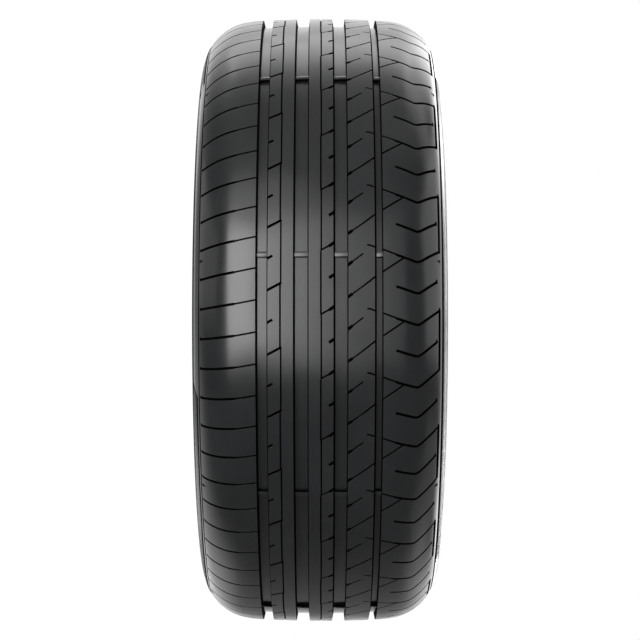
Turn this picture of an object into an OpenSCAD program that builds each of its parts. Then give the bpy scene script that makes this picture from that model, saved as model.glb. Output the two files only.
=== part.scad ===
// Radial car tyre, unmounted, lying on its sidewall.
// The axle line is +Z and the origin is the middle of the tyre. All sizes are in millimetres.
// The tread is laid out on two axes: z runs across it, and t runs round it in the sense of +Z.

/* [Carcass] */
// Height of the section, from the bead's land to the middle of the tread
section_h = 92.5; // [88:0.5:97]
// Width between the plain sidewalls
section_w = 240; // [230:0.5:250]
// Rubber between the tread's face and the liner at the middle
crown_thickness = 12.7; // [11:0.1:16]
// Section height that the next three radii are drawn for
drawn_h = 92.5; // [88:0.5:97]
// Radius of the blend beside the crown
blend_radius = 110; // [90:1:140]
// Radius of the shoulder
shoulder_radius = 56; // [50:0.5:62]
// Radius of the upper sidewall
side_radius = 45; // [40:0.5:50]
// Radius of the tread's crown across the tyre
crown_radius = 1220; // [900:10:2000]

/* [Bead] */
// Diameter of the land that sits on the rim
bead_land_d = 460; // [456:0.5:464]
// Distance between the outer faces of the two beads
rim_w = 216; // [208:0.5:222]
// Length of the cylindrical land
land_l = 6.5; // [4:0.1:9]
// Radius of the heel between the land and the bead's face
heel_radius = 6.5; // [4:0.1:8]
// Width of the bead from its face to its toe
bead_base_w = 18.6; // [17:0.1:21]
// Drop of the toe below the land
toe_drop = 1.2; // [0.6:0.1:2]
// Height of the rim flange that the bead nests against
flange_h = 17; // [15:0.1:19]
// Radius of the nest for the rim flange
nest_radius = 8.5; // [6:0.1:9.5]
// Reach of the rim guard beside the nest
guard_reach = 12; // [10:0.1:12.4]
// Width of the rim guard's crest
guard_w = 3.4; // [2:0.1:5]
// Rounding of the rim guard
guard_round = 1.4; // [0.6:0.1:2]
// Depth that the sidewall falls in above the rim guard
guard_step = 2.2; // [1:0.1:4]
// Rubber between the foot of that step and the liner
guard_wall = 10.4; // [8:0.1:14]
// Set-in of the liner from the bead's face, level with the top of the nest
liner_set_in = 5.1; // [3:0.1:8]

/* [Sidewall] */
// Height of the plain raised band on each sidewall
band_h = 0.5; // [0.3:0.05:1.5]
// Width of the raised band's flat face
band_w = 15; // [10:0.5:22]
// Width of the fine line along each tread edge
edge_line_w = 1.3; // [0.8:0.1:2]
// Depth of that line
edge_line_depth = 1; // [0.5:0.1:1.5]
// Place of that line, from the middle of the tread
edge_line_z = 113.6; // [112.6:0.1:115]

/* [Main grooves] */
// Depth of the main grooves
groove_depth = 8.2; // [6:0.1:9]
// Draft of the groove walls, in degrees
groove_draft = 8; // [2:0.5:12]
// Chamfer along the groove edges
groove_chamfer = 0.5; // [0.2:0.1:1]
// Middle of the centre rib
centre_rib_z = 0.95; // [-3:0.05:3]
// Width of the centre rib
centre_rib_w = 22.7; // [20:0.1:25]
// Width of the rib on the lower side
lower_rib_w = 23.3; // [21:0.1:25]
// Width of the rib on the upper side
upper_rib_w = 24.1; // [22:0.1:26]
// Width of the lower inner groove
lower_inner_w = 14.6; // [12:0.1:16]
// Width of the upper inner groove
upper_inner_w = 14.1; // [12:0.1:16]
// Width of the lower outer groove
lower_outer_w = 11.5; // [9:0.1:13]
// Width of the upper outer groove
upper_outer_w = 8.2; // [7:0.1:10]

/* [Wear bars] */
// Number of wear bars in each main groove
bar_count = 9; // [6:1:12]
// Height of a wear bar above the groove's floor
bar_h = 1.6; // [1:0.1:2]
// Length of a wear bar round the tyre
bar_l = 6; // [4:0.5:10]

/* [Pattern] */
// Number of times the whole pattern repeats round the tyre
repeat_count = 17; // [12:1:20]
// Depth of the cross cuts in the ribs
cut_depth = 6; // [4:0.1:6.4]
// Depth of the cross cuts where they run out at the tread edge
edge_cut_depth = 3.4; // [2:0.1:4.5]
// Width of the open cross cuts in the shoulders
shoulder_cut_w = 2.1; // [1.4:0.1:3]
// Width of the open cross cuts in the ribs
rib_cut_w = 1.9; // [1.2:0.1:2.6]
// Width of the sipes
sipe_w = 0.8; // [0.5:0.05:1.1]
// Reach of the cross cuts from the middle of the tread
cut_reach = 111.2; // [109:0.1:112]

/* [Hidden] */
$fn = 96;

land_r = bead_land_d / 2;
tread_r = land_r + section_h;
liner_r = tread_r - crown_thickness;
toe_r = land_r - toe_drop;
bead_z = rim_w / 2;
toe_z = bead_z - bead_base_w;
nest_top_r = land_r + flange_h;
side_z = section_w / 2;
band_z = side_z + band_h;
mm_to_deg = 180 / (PI * tread_r);
step_count = 4 * repeat_count;
pitch_count = 2 * repeat_count;
start_angle = 270;
mouth_overlap = 1.2;
notch_w = 1.25 * rib_cut_w;
run_out_z = 93;
// Where the first wear bar stands in its step, and how the rest are rounded to theirs
bar_shift = 2.1;
bar_phase = 0.7;

// Edges of the main grooves, counted up the z axis
lower_inner_top = centre_rib_z - centre_rib_w / 2;
lower_inner_bottom = lower_inner_top - lower_inner_w;
lower_outer_top = lower_inner_bottom - lower_rib_w;
lower_outer_bottom = lower_outer_top - lower_outer_w;
upper_inner_bottom = centre_rib_z + centre_rib_w / 2;
upper_inner_top = upper_inner_bottom + upper_inner_w;
upper_outer_bottom = upper_inner_top + upper_rib_w;
upper_outer_top = upper_outer_bottom + upper_outer_w;
grooves = [
    [lower_outer_bottom, lower_outer_top],
    [lower_inner_bottom, lower_inner_top],
    [upper_inner_bottom, upper_inner_top],
    [upper_outer_bottom, upper_outer_top]
];

// Angles at which the outer face leaves each of its arcs, 0 along the axle and 90 straight down
blend_end = 11.5;
shoulder_end = 42.5;
// The radii grow and shrink with the section's own height
height_share = section_h / drawn_h;
blend_r = blend_radius * height_share;
shoulder_r = shoulder_radius * height_share;
side_r = side_radius * height_share;
crown_end = asin((side_z - side_r - (shoulder_r - side_r) * sin(shoulder_end)
    - (blend_r - shoulder_r) * sin(blend_end)) / (crown_radius - blend_r));
outer_arcs = [
    [crown_radius, 0, crown_end, 2],
    [blend_r, crown_end, blend_end, 1],
    [shoulder_r, blend_end, shoulder_end, 4],
    [side_r, shoulder_end, 90, 7]
];
// The liner is built the same way, a wall's thickness in
wall_thickness = 9;
liner_turn = 45;
liner_shoulder_r = 50 * height_share;
liner_side_r = 31 * height_share;
liner_side_z = side_z - wall_thickness;
liner_crown_end = asin((liner_side_z - liner_side_r - (liner_shoulder_r - liner_side_r) * sin(liner_turn))
    / (crown_radius - liner_shoulder_r));
liner_arcs = [
    [crown_radius, 0, liner_crown_end, 1],
    [liner_shoulder_r, liner_crown_end, liner_turn, 4],
    [liner_side_r, liner_turn, 90, 4]
];

// Step from one angle to another along an arc, as [z, r]
function arc_step(radius, from, to) = radius * [sin(to) - sin(from), cos(to) - cos(from)];
// Start of arc i in a chain that leaves [0, top]
function arc_start(arcs, top, i) = i == 0 ? [0, top]
    : arc_start(arcs, top, i - 1) + arc_step(arcs[i - 1][0], arcs[i - 1][1], arcs[i - 1][2]);
// Points along a chain of arcs, as [z, r]
function arc_chain(arcs, top) = concat([[0, top]], [
    for (i = [0 : len(arcs) - 1]) for (k = [1 : arcs[i][3]])
        arc_start(arcs, top, i)
        + arc_step(arcs[i][0], arcs[i][1], arcs[i][1] + (arcs[i][2] - arcs[i][1]) * k / arcs[i][3])
]);
// Points of a small arc about a centre, as [z, r], with 0 degrees along z
function small_arc(centre, radius, from, to, steps) = [
    for (k = [0 : steps]) let (a = from + (to - from) * k / steps)
        centre + radius * [cos(a), sin(a)]
];

widest = arc_start(outer_arcs, tread_r, len(outer_arcs));
band_mid_r = widest[1];
band_top_r = band_mid_r + band_w / 2;
band_bottom_r = band_mid_r - band_w / 2;

// Radius of the outer face at a height z
function face_r_on(z, i) = let (start = arc_start(outer_arcs, tread_r, i), arc = outer_arcs[i])
    start[1] + arc[0] * (cos(asin(min(1, sin(arc[1]) + (z - start[0]) / arc[0]))) - cos(arc[1]));
function face_arc(z, i = 0) = i == len(outer_arcs) - 1 || z <= arc_start(outer_arcs, tread_r, i + 1)[0]
    ? i : face_arc(z, i + 1);
function face_r(z) = face_r_on(abs(z), face_arc(abs(z)));
// Points down a lower wall, from the widest point at the top to its foot, as [z, r]
function lower_wall(top, foot, steps) = [
    for (k = [1 : steps]) let (share = k / steps)
        [top[0] + (foot[0] - top[0]) * pow(share, 2), top[1] + (foot[1] - top[1]) * share]
];

guard_z = bead_z + guard_reach;
guard_top_r = nest_top_r + guard_round + guard_w;
guard_foot = [guard_z - guard_step, guard_top_r + guard_step];
liner_widest = arc_start(liner_arcs, liner_r, len(liner_arcs));
outer_half = arc_chain(outer_arcs, tread_r);
liner_half = concat(
    arc_chain(liner_arcs, liner_r),
    lower_wall(liner_widest, guard_foot - [guard_wall, 0], 2),
    [[bead_z - liner_set_in, nest_top_r]]
);
lower_side = lower_wall(widest, guard_foot, 3);
bead_half = concat(
    [[guard_z, guard_top_r]],
    small_arc([guard_z - guard_round, nest_top_r + guard_round], guard_round, 0, -90, 3),
    small_arc([bead_z + nest_radius, nest_top_r - nest_radius], nest_radius, 90, 180, 5),
    small_arc([bead_z - heel_radius, land_r + heel_radius], heel_radius, 0, -90, 5),
    [[bead_z - heel_radius - land_l, land_r], [toe_z, toe_r]],
    [[toe_z - toe_drop, toe_r + toe_drop]]
);
half_outline = concat(
    outer_half, lower_side, bead_half, [for (k = [len(liner_half) - 1 : -1 : 0]) liner_half[k]]
);

// Whole section of the plain carcass, as [r, z]
module carcass_section() {
    last = len(half_outline) - 1;
    polygon(concat(
        [for (p = half_outline) [p[1], p[0]]],
        [for (k = [last - 1 : -1 : 1]) [half_outline[k][1], -half_outline[k][0]]]
    ));
    root_z = band_z - 3 * band_h - 1;
    for (side = [-1, 1])
        polygon([
            [band_bottom_r, side * band_z], [band_top_r, side * band_z],
            [band_top_r, side * root_z], [band_bottom_r, side * root_z]
        ]);
}

// Section of a main groove between two edges, with a chamfer along each edge
module groove_section(low, high) {
    lean = groove_depth * tan(groove_draft);
    low_r = face_r(low);
    high_r = face_r(high);
    floor_r = face_r((low + high) / 2) - groove_depth;
    above = tread_r + 1;
    polygon([
        [above, low - groove_chamfer - (above - low_r)],
        [low_r - groove_chamfer, low],
        [floor_r, low + lean],
        [floor_r, high - lean],
        [high_r - groove_chamfer, high],
        [above, high + groove_chamfer + (above - high_r)]
    ]);
}

// Section of the fine line along one tread edge
module edge_line_section() {
    r = face_r(edge_line_z);
    polygon([
        [r - edge_line_depth, edge_line_z - edge_line_depth],
        [r + edge_line_w / 2 + 1, edge_line_z - edge_line_w / 2 + 1],
        [r - edge_line_w / 2 + 1, edge_line_z + edge_line_w / 2 + 1]
    ]);
}

module plain_tyre() {
    rotate_extrude()
        difference() {
            carcass_section();
            for (edges = grooves) groove_section(edges[0], edges[1]);
            edge_line_section();
            mirror([0, 1]) edge_line_section();
        }
}

// A bar across the floor of each main groove, let into the rubber all round
module wear_bars() {
    sink = 0.8;
    lean = groove_depth * tan(groove_draft);
    angle = bar_l * mm_to_deg;
    for (k = [0 : bar_count - 1]) {
        // Each bar's share of the turn is rounded to a whole step of the pattern
        step = floor(k * step_count / bar_count + bar_phase);
        place = start_angle + (step - bar_shift) * 360 / step_count;
        for (edges = grooves) {
            floor_r = face_r((edges[0] + edges[1]) / 2) - groove_depth;
            rotate([0, 0, place - angle / 2])
                rotate_extrude(angle = angle)
                    polygon([
                        [floor_r - sink, edges[0] + lean],
                        [floor_r - sink, edges[1] - lean],
                        [floor_r + bar_h, edges[1] - lean + sink + bar_h * tan(groove_draft)],
                        [floor_r + bar_h, edges[0] + lean - sink - bar_h * tan(groove_draft)]
                    ]);
        }
    }
}

// Depth of a cross cut at a height z: it runs out towards the tread edge
function depth_at(z) = cut_depth
    - (cut_depth - edge_cut_depth) * max(0, abs(z) - run_out_z) / (cut_reach - run_out_z);

// A straight cut from one [t, z] point to another, repeated round the tyre. The floor follows the
// face of the tread in as many straight lengths as floor_parts says.
module cut(from, to, w, count, floor_parts = 1) {
    way = to - from;
    slant = atan2(way[0], way[1]);
    above = tread_r + 2;
    for (k = [0 : count - 1])
        rotate([0, 0, start_angle + k * 360 / count + from[0] * mm_to_deg])
            translate([0, 0, from[1]])
                rotate([90 - slant, 0, 0])
                    linear_extrude(w, center = true)
                        polygon(concat(
                            [[above, norm(way)], [above, 0]],
                            [for (i = [0 : floor_parts])
                                let (share = i / floor_parts, z = from[1] + share * way[1])
                                    [face_r(z) - depth_at(z), share * norm(way)]]
                        ));
}

// A sipe that runs round the tread for some length, once in each repeat of the whole pattern
module sipe_round(z, from, to) {
    for (k = [0 : repeat_count - 1])
        rotate([0, 0, start_angle + k * 360 / repeat_count + from * mm_to_deg])
            rotate_extrude(angle = (to - from) * mm_to_deg)
                translate([face_r(z) - cut_depth, z - sipe_w / 2])
                    square([cut_depth + 2, sipe_w]);
}

// Cuts of the shoulder on the lower side, at every step: a sipe that opens out
module lower_shoulder_cuts() {
    mouth = lower_outer_bottom + mouth_overlap;
    cut([-18.8, mouth], [-14.8, -79.5], sipe_w, step_count);
    cut([-15, -79], [-10.3, -cut_reach], shoulder_cut_w, step_count, 2);
}

// Cuts of the rib on the lower side: a notch, a slanted cut, and the sipe that joins every other pair
module lower_rib_cuts() {
    edge = lower_outer_top;
    slot_z = edge + 0.52 * lower_rib_w;
    cut([2.9, edge - mouth_overlap], [-0.3, edge + 4.5], rib_cut_w, pitch_count);
    cut([-27, edge - mouth_overlap], [-34.6, slot_z + sipe_w / 2], rib_cut_w, pitch_count);
    sipe_round(slot_z, -93.5, -35);
}

// Cuts of the centre rib: a slanted sipe that opens out, a notch, and the sipe that joins every other pair
module centre_rib_cuts() {
    edge = upper_inner_bottom;
    slot_z = centre_rib_z + 0.25;
    notch_z = edge - 0.18 * centre_rib_w;
    cut([-5, slot_z - sipe_w / 2], [-9.4, notch_z], sipe_w, pitch_count);
    cut([-8.9, notch_z], [-12.9, edge + mouth_overlap], notch_w, pitch_count);
    cut([20.8, notch_z], [17.3, edge + mouth_overlap], notch_w, pitch_count);
    sipe_round(slot_z, -3, 55);
}

// Cuts of the rib on the upper side: a slanted cut that a sipe carries across, a short one and a short sipe
module upper_rib_cuts() {
    inner = upper_inner_top;
    outer = upper_outer_bottom;
    mid = inner + 0.565 * upper_rib_w;
    cut([-20.7, inner - mouth_overlap], [-31.5, mid], rib_cut_w, pitch_count);
    cut([-31.1, mid - 0.5], [-40.8, outer + mouth_overlap], sipe_w, pitch_count);
    cut([-50.5, inner - mouth_overlap], [-62, mid], rib_cut_w, pitch_count);
    cut([-10.5, outer - 7], [-8.2, outer + mouth_overlap], sipe_w, pitch_count);
}

// Cuts of the shoulder on the upper side: hooked cuts, long and short in turn, and the sipes that meet them
module upper_shoulder_cuts() {
    mouth = upper_outer_top - mouth_overlap;
    root_z = 70.2;
    bend_z = 89.5;
    cut([-6.6, mouth], [-1.7, root_z + 0.5], sipe_w, pitch_count);
    cut([-1.5, root_z], [4.6, bend_z + 0.7], shoulder_cut_w, pitch_count);
    cut([4.6, bend_z - 0.7], [-9.2, cut_reach], shoulder_cut_w, pitch_count, 2);
    cut([-31, root_z], [-25.2, bend_z + 0.7], shoulder_cut_w, pitch_count);
    cut([-25.2, bend_z - 0.7], [-37, 108.4], shoulder_cut_w, pitch_count, 2);
    cut([15.1, mouth], [1.4, 77.5], sipe_w, pitch_count);
}

module tyre() {
    color([0.13, 0.13, 0.14]) {
        difference() {
            plain_tyre();
            lower_shoulder_cuts();
            lower_rib_cuts();
            centre_rib_cuts();
            upper_rib_cuts();
            upper_shoulder_cuts();
        }
        wear_bars();
    }
}

tyre();
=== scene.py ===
"""Dresses a low-profile radial car tyre that lies on its sidewall in a white studio.

The axle line is +Z and the origin is the middle of the tyre. Sizes in the classes are in millimetres, as on
a tyre drawing, and turn into metres where a mesh is made. The tread is first drawn flat, with z across it and
t round it, cut into facets with its grooves, and then wrapped onto the crown.
"""
from __future__ import annotations

import logging
import math
from dataclasses import dataclass, field, replace
from enum import Enum

import bmesh
import bpy
import numpy as np
from mathutils import Matrix, Vector, geometry

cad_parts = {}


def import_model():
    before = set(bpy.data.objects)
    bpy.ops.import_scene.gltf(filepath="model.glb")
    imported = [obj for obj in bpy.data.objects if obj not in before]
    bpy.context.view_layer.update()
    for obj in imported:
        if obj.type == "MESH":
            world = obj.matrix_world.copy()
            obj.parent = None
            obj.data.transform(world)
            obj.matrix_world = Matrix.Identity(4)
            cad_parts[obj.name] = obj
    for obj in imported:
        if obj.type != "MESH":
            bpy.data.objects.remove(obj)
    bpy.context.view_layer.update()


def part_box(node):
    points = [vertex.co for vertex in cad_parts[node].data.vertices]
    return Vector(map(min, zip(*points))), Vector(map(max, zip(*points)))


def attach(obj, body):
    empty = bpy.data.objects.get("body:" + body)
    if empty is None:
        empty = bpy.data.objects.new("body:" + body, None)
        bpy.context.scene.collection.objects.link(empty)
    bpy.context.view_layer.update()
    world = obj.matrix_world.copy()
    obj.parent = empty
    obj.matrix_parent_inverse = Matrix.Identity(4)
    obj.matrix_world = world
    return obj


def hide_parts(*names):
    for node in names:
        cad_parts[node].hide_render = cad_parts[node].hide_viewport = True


LOG = logging.getLogger("tyre")
MM = 0.001
# Depth, in millimetres, that gives a place the full painted shade of the inside of a cut
FULL_SHADE_DEPTH = 4.0
BODY = "root"
CAD_NODE = "tyre"

Point = tuple[float, float]
Span = tuple[float, float]
Spot = tuple[float, float, float]
Face = tuple[int, ...]
Socket = bpy.types.NodeSocket


class Side(Enum):
    """Which sidewall a detail belongs to: the one on the floor, or the one that faces up."""

    LOWER = -1
    UPPER = 1


class Zone(Enum):
    """Kinds of rubber surface, by their order in the tyre's material list."""

    TREAD = 0
    SIDEWALL = 1
    LINER = 2


@dataclass(frozen=True)
class Arc:
    """One arc of a section, from one heading to another, 0 along the axle and 90 straight inwards."""

    radius: float
    start: float
    end: float
    steps: int

    def step(self, heading: float) -> Point:
        """Way from the arc's start to a heading, as (z, r)."""
        a, b = math.radians(self.start), math.radians(heading)
        return self.radius * (math.sin(b) - math.sin(a)), self.radius * (math.cos(b) - math.cos(a))


@dataclass
class Section:
    """The tyre's section: crown, shoulders, sidewalls, beads and liner, all in millimetres."""

    # Outer face, from the crown over the shoulder to the widest point
    overall_d: float = 645.0
    section_w: float = 240.0
    crown_radius: float = 1220.0
    blend_radius: float = 110.0
    shoulder_radius: float = 56.0
    side_radius: float = 45.0
    lower_side_radius: float = 75.0
    blend_end: float = 11.5
    shoulder_end: float = 42.5
    side_steps: int = 9
    # Liner
    crown_thickness: float = 12.7
    wall_thickness: float = 9.0
    liner_shoulder_radius: float = 50.0
    liner_side_radius: float = 31.0
    liner_lower_radius: float = 40.0
    liner_turn: float = 45.0
    liner_toe_angle: float = 127.0
    # Bead: land, heel, toe, nest for the rim flange and rim guard
    bead_land_d: float = 460.0
    rim_w: float = 216.0
    land_l: float = 6.5
    heel_radius: float = 6.5
    bead_base_w: float = 18.6
    toe_drop: float = 1.2
    toe_slope_w: float = 0.8
    toe_round_w: float = 0.1
    toe_round_h: float = 0.25
    flange_h: float = 17.0
    nest_radius: float = 8.5
    guard_reach: float = 12.0
    guard_w: float = 3.4
    guard_round: float = 1.4
    guard_tip: float = 0.8
    guard_gap: float = 2.0
    # Raised band round the sidewall
    band_h: float = 0.5
    band_w: float = 15.0
    band_ease: float = 0.35
    band_gap_above: float = 1.2
    band_gap_below: float = 0.7
    # Fitting lines, by their distance from the middle between band and guard
    fitting_lines: Span = (2.2, -0.6)
    fitting_line_h: float = 0.5
    fitting_line_half: float = 0.45
    fitting_crest_half: float = 0.1
    # Tread edge and the fine line beyond it, on each side
    tread_edge: float = 112.5
    lower_line_z: float = 112.6
    upper_line_z: float = 113.9
    lower_line_w: float = 1.0
    upper_line_w: float = 1.6
    edge_line_depth: float = 1.8
    edge_line_draft: float = 0.12

    @property
    def tread_r(self) -> float:
        """Radius over the middle of the tread."""
        return self.overall_d / 2

    def crown_end(self, edge: float, turn: float, turn_end: float, last: float, outer: float) -> float:
        """Heading at which the crown gives way, so that the chain of arcs ends at a given width.

        Args:
            edge: Half width that the chain ends at.
            turn: Radius of the arc before the last.
            turn_end: Heading where that arc ends.
            last: Radius of the last arc, which ends at 90 degrees.
            outer: Width that the arcs between the crown and the turn take up beyond the crown's share.

        Returns:
            The heading in degrees.
        """
        rest = edge - last - (turn - last) * math.sin(math.radians(turn_end)) - outer
        next_radius = self.blend_radius if outer else turn
        return math.degrees(math.asin(rest / (self.crown_radius - next_radius)))

    def outer_arcs(self) -> list[Arc]:
        """Arcs of the outer face, from the middle of the tread to the widest point."""
        blend = (self.blend_radius - self.shoulder_radius) * math.sin(math.radians(self.blend_end))
        crown = self.crown_end(self.section_w / 2, self.shoulder_radius, self.shoulder_end,
                               self.side_radius, blend)
        return [
            Arc(self.crown_radius, 0.0, crown, 4),
            Arc(self.blend_radius, crown, self.blend_end, 3),
            Arc(self.shoulder_radius, self.blend_end, self.shoulder_end, 10),
            Arc(self.side_radius, self.shoulder_end, 90.0, 20),
        ]

    def liner_arcs(self) -> list[Arc]:
        """Arcs of the liner, from the middle round its widest point towards the toe."""
        edge = self.section_w / 2 - self.wall_thickness
        crown = self.crown_end(edge, self.liner_shoulder_radius, self.liner_turn, self.liner_side_radius, 0.0)
        return [
            Arc(self.crown_radius, 0.0, crown, 4),
            Arc(self.liner_shoulder_radius, crown, self.liner_turn, 8),
            Arc(self.liner_side_radius, self.liner_turn, 90.0, 8),
            Arc(self.liner_lower_radius, 90.0, self.liner_toe_angle, 7),
        ]

    @staticmethod
    def chain(arcs: list[Arc], top: float) -> list[Point]:
        """Points along a chain of arcs that leaves (0, top), as (z, r)."""
        points = [(0.0, top)]
        for arc in arcs:
            z, r = points[-1]
            for k in range(1, arc.steps + 1):
                dz, dr = arc.step(arc.start + (arc.end - arc.start) * k / arc.steps)
                points.append((z + dz, r + dr))
        return points

    def face(self, z: float) -> tuple[float, float]:
        """Radius of the outer face at a height, and its heading in radians.

        Args:
            z: Distance from the middle of the tread.

        Returns:
            Radius in millimetres, and the heading, which is 0 on the crown and grows towards the sidewall.
        """
        start = (0.0, self.tread_r)
        arcs = self.outer_arcs()
        for arc in arcs:
            dz, dr = arc.step(arc.end)
            if abs(z) <= start[0] + dz or arc is arcs[-1]:
                sine = math.sin(math.radians(arc.start)) + (abs(z) - start[0]) / arc.radius
                heading = math.asin(min(1.0, sine))
                return start[1] + arc.step(math.degrees(heading))[1], heading
            start = (start[0] + dz, start[1] + dr)
        raise ValueError(z)

    @property
    def widest_r(self) -> float:
        """Radius at which the sidewall is widest."""
        return self.chain(self.outer_arcs(), self.tread_r)[-1][1]

    def side_z(self, r: float) -> float:
        """Half width of the plain sidewall at a radius."""
        radius = self.side_radius if r > self.widest_r else self.lower_side_radius
        sine = (r - self.widest_r) / radius
        return self.section_w / 2 - radius * (1 - math.sqrt(max(0.0, 1 - sine * sine)))

    @staticmethod
    def small_arc(centre: Point, radius: float, start: float, end: float, steps: int) -> list[Point]:
        """Points of an arc about a centre, as (z, r), with 0 degrees along z."""
        turns = [math.radians(start + (end - start) * k / steps) for k in range(steps + 1)]
        return [(centre[0] + radius * math.cos(a), centre[1] + radius * math.sin(a)) for a in turns]

    def edge_line(self, lip_in: float, width: float) -> list[Point]:
        """The fine line moulded along the tread edge.

        Args:
            lip_in: Distance of its inner lip from the middle of the tread.
            width: Width of the line along z.

        Returns:
            Points from the tread's last one to the line's outer lip.
        """
        lip_out = lip_in + width
        floor = self.face(lip_out)[0] - self.edge_line_depth
        start = [(z, self.face(z)[0]) for z in (self.tread_edge, (self.tread_edge + lip_in) / 2, lip_in)]
        floor_in, floor_out = lip_in + self.edge_line_draft, lip_out - self.edge_line_draft
        return start + [(floor_in, floor), (floor_out, floor), (lip_out, self.face(lip_out)[0])]

    def upper_side(self, lip_out: float) -> list[Point]:
        """Sidewall from the outer lip of the edge line to the raised band."""
        end_r = self.widest_r + self.band_w / 2 + self.band_gap_above
        top_r = self.face(lip_out)[0]
        rs = [top_r + (end_r - top_r) * k / self.side_steps for k in range(1, self.side_steps + 1)]
        return [(self.side_z(r), r) for r in rs]

    def band(self) -> list[Point]:
        """The plain raised band round the widest part, with eased edges."""
        z, ease = self.section_w / 2 + self.band_h, self.band_ease
        top, bottom = self.widest_r + self.band_w / 2, self.widest_r - self.band_w / 2
        return [(z - ease, top), (z, top - ease), (z, bottom + ease), (z - ease, bottom)]

    def lower_side(self) -> list[Point]:
        """Sidewall from the band to the rim guard, with two fine fitting lines moulded on it."""
        bottom = self.widest_r - self.band_w / 2 - self.band_gap_below
        guard_foot = self.land_r + self.flange_h + self.guard_round + self.guard_w + self.guard_gap
        points = [(self.side_z(bottom), bottom)]
        for above in self.fitting_lines:
            centre = 0.5 * (bottom + guard_foot) + above
            top, foot = centre + self.fitting_line_half, centre - self.fitting_line_half
            crest = self.side_z(centre) + self.fitting_line_h
            points += [
                (self.side_z(top), top),
                (crest, centre + self.fitting_crest_half),
                (crest, centre - self.fitting_crest_half),
                (self.side_z(foot), foot),
            ]
        points.append((self.side_z(guard_foot), guard_foot))
        return points

    @property
    def land_r(self) -> float:
        """Radius of the cylindrical land that sits on the rim."""
        return self.bead_land_d / 2

    def bead(self) -> list[Point]:
        """Rim guard, nest for the rim flange, heel, land and toe."""
        face_z, toe_r = self.rim_w / 2, self.land_r - self.toe_drop
        nest_top = self.land_r + self.flange_h
        guard_z, guard_top = face_z + self.guard_reach, nest_top + self.guard_round + self.guard_w
        tip = self.guard_tip
        points = self.small_arc((guard_z - tip, guard_top - tip), tip, 60, 0, 2)
        points += self.small_arc((guard_z - self.guard_round, nest_top + self.guard_round),
                                 self.guard_round, 0, -90, 4)
        points += self.small_arc((face_z + self.nest_radius, nest_top - self.nest_radius),
                                 self.nest_radius, 90, 180, 8)
        points += self.small_arc((face_z - self.heel_radius, self.land_r + self.heel_radius),
                                 self.heel_radius, 0, -90, 7)
        toe_z = face_z - self.bead_base_w
        points += [(face_z - self.heel_radius - self.land_l, self.land_r), (toe_z + self.toe_slope_w, toe_r)]
        points += [(toe_z + self.toe_round_w, toe_r + self.toe_round_h), (toe_z, toe_r + self.toe_drop)]
        return points

    def half_ring(self, line_z: float, line_w: float) -> tuple[list[Point], list[Zone]]:
        """Section of one half from the tread edge down to the liner's middle.

        Args:
            line_z: Distance of the edge line's inner lip from the middle of the tread.
            line_w: Width of that line.

        Returns:
            The points as (z, r), and the zone of the face that follows each point.
        """
        side = self.edge_line(line_z, line_w) + self.upper_side(line_z + line_w)
        side += self.band() + self.lower_side() + self.bead()
        liner = self.chain(self.liner_arcs(), self.tread_r - self.crown_thickness)
        points = side + liner[::-1]
        zones = [Zone.SIDEWALL] * (len(side) - 1) + [Zone.LINER] * (len(liner) + 1)
        return points, zones


@dataclass(frozen=True)
class Cut:
    """A straight cut in the flat tread, from one (t, z) point to another."""

    start: Point
    end: Point
    width: float
    depth: float
    chamfer: float
    draft: float
    # From run_out towards the tread edge the floor rises, to edge_depth at reach
    reach: float = 111.2
    run_out: float = 93.0
    edge_depth: float = 3.4

    @property
    def length(self) -> float:
        """Length of the cut's middle line."""
        return math.dist(self.start, self.end)

    @property
    def way(self) -> Point:
        """Unit direction of the middle line."""
        return (self.end[0] - self.start[0]) / self.length, (self.end[1] - self.start[1]) / self.length

    def moved(self, shift: float) -> Cut:
        """The same cut further round the tread."""
        return replace(self, start=(self.start[0] + shift, self.start[1]),
                       end=(self.end[0] + shift, self.end[1]))

    def outline(self, inset: float) -> list[Point]:
        """Corners of the cut, drawn in from its edge by an inset."""
        (t, z), (ut, uz) = self.start, self.way
        half = self.width / 2 - inset
        corners = []
        for along, across in ((inset, half), (inset, -half), (self.length - inset, -half),
                              (self.length - inset, half)):
            corners.append((t + ut * along - uz * across, z + uz * along + ut * across))
        return corners

    def insets(self) -> list[float]:
        """Insets of the lines where the cut's slope changes: lip, chamfer's foot and floor."""
        return [0.0, self.chamfer, self.chamfer + self.draft]

    def depth_at(self, t: float, z: float) -> float:
        """Depth of the cut at a point of the flat tread, 0 outside it."""
        ut, uz = self.way
        along = (t - self.start[0]) * ut + (z - self.start[1]) * uz
        across = -(t - self.start[0]) * uz + (z - self.start[1]) * ut
        painted_shade = min(self.width / 2 - abs(across), along, self.length - along)
        fade = max(0.0, abs(z) - self.run_out) / (self.reach - self.run_out)
        floor = self.depth - max(0.0, self.depth - self.edge_depth) * min(1.0, fade)
        return wall_depth(painted_shade, floor, self.chamfer, self.draft)


@dataclass(frozen=True)
class Groove:
    """A main groove that runs all the way round between two heights."""

    low: float
    high: float
    depth: float = 8.2
    chamfer: float = 0.2
    # Width that each wall takes up below its chamfer
    low_lean: float = 1.75
    high_lean: float = 1.0

    def lines(self) -> list[float]:
        """Heights where the groove's slope changes."""
        low = [self.low + i for i in (0.0, self.chamfer, self.chamfer + self.low_lean)]
        return low + [self.high - i for i in (0.0, self.chamfer, self.chamfer + self.high_lean)]

    def depth_at(self, z: float) -> float:
        """Depth of the groove at a height, 0 outside it."""
        return min(wall_depth(z - self.low, self.depth, self.chamfer, self.low_lean),
                   wall_depth(self.high - z, self.depth, self.chamfer, self.high_lean))

    def width_at(self, lift: float) -> Span:
        """Heights of the two walls at a lift above the groove's floor."""
        share = 1 - lift / self.depth
        low = self.low + self.chamfer + self.low_lean * share
        return low, self.high - self.chamfer - self.high_lean * share


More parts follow.
